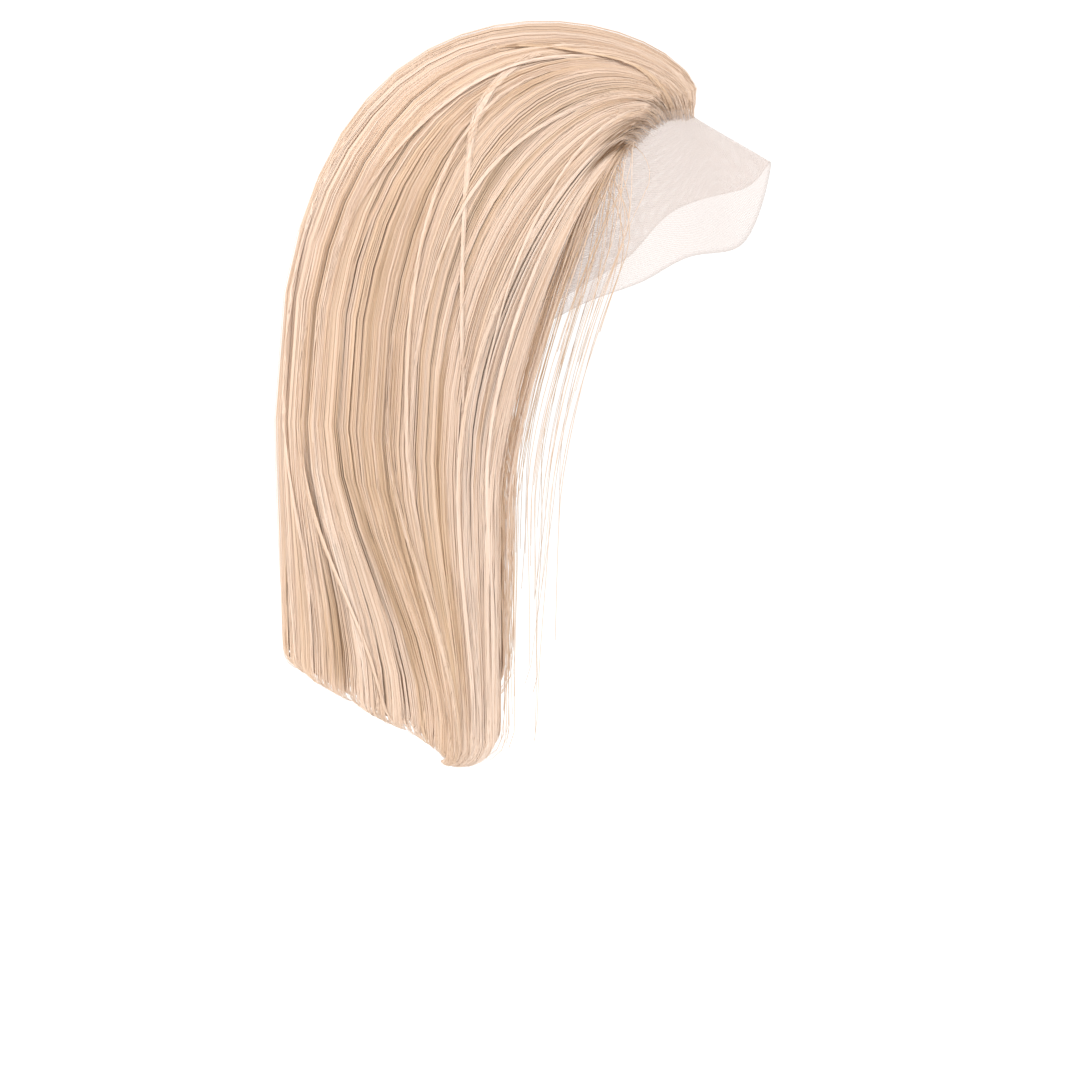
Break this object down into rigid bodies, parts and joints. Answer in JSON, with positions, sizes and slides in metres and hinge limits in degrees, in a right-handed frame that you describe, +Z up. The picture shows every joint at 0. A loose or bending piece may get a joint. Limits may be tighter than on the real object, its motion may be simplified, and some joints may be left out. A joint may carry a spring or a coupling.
{
  "type": "bob wig with a lace front",
  "caption": "Straight blonde bob wig, brushed back from a sheer lace front, on a hollow cap that is worn on a head.",
  "frame": {"origin": "inside of the cap's top, where the wig sits on a head", "axes": "+X to the wearer's left, -Y to the front of the face, +Z up"},
  "size_m": [0.1814, 0.2547, 0.3726],
  "materials": {
    "hair": "satin",
    "lace": "matte",
    "cap_net": "matte"
  },
  "bodies": {
    "root": {"cap": "cap_net", "lace_front": "lace", "crown_lock": "hair", "lock_left_1": "hair", "lock_right_1": "hair", "lock_left_2": "hair", "lock_right_2": "hair", "lock_left_3": "hair", "lock_right_3": "hair", "lock_left_4": "hair", "lock_right_4": "hair", "lock_left_5": "hair", "lock_right_5": "hair", "lock_left_6": "hair", "lock_right_6": "hair", "lock_left_7": "hair", "lock_right_7": "hair", "lock_left_8": "hair", "lock_right_8": "hair"}
  },
  "joints": []
}
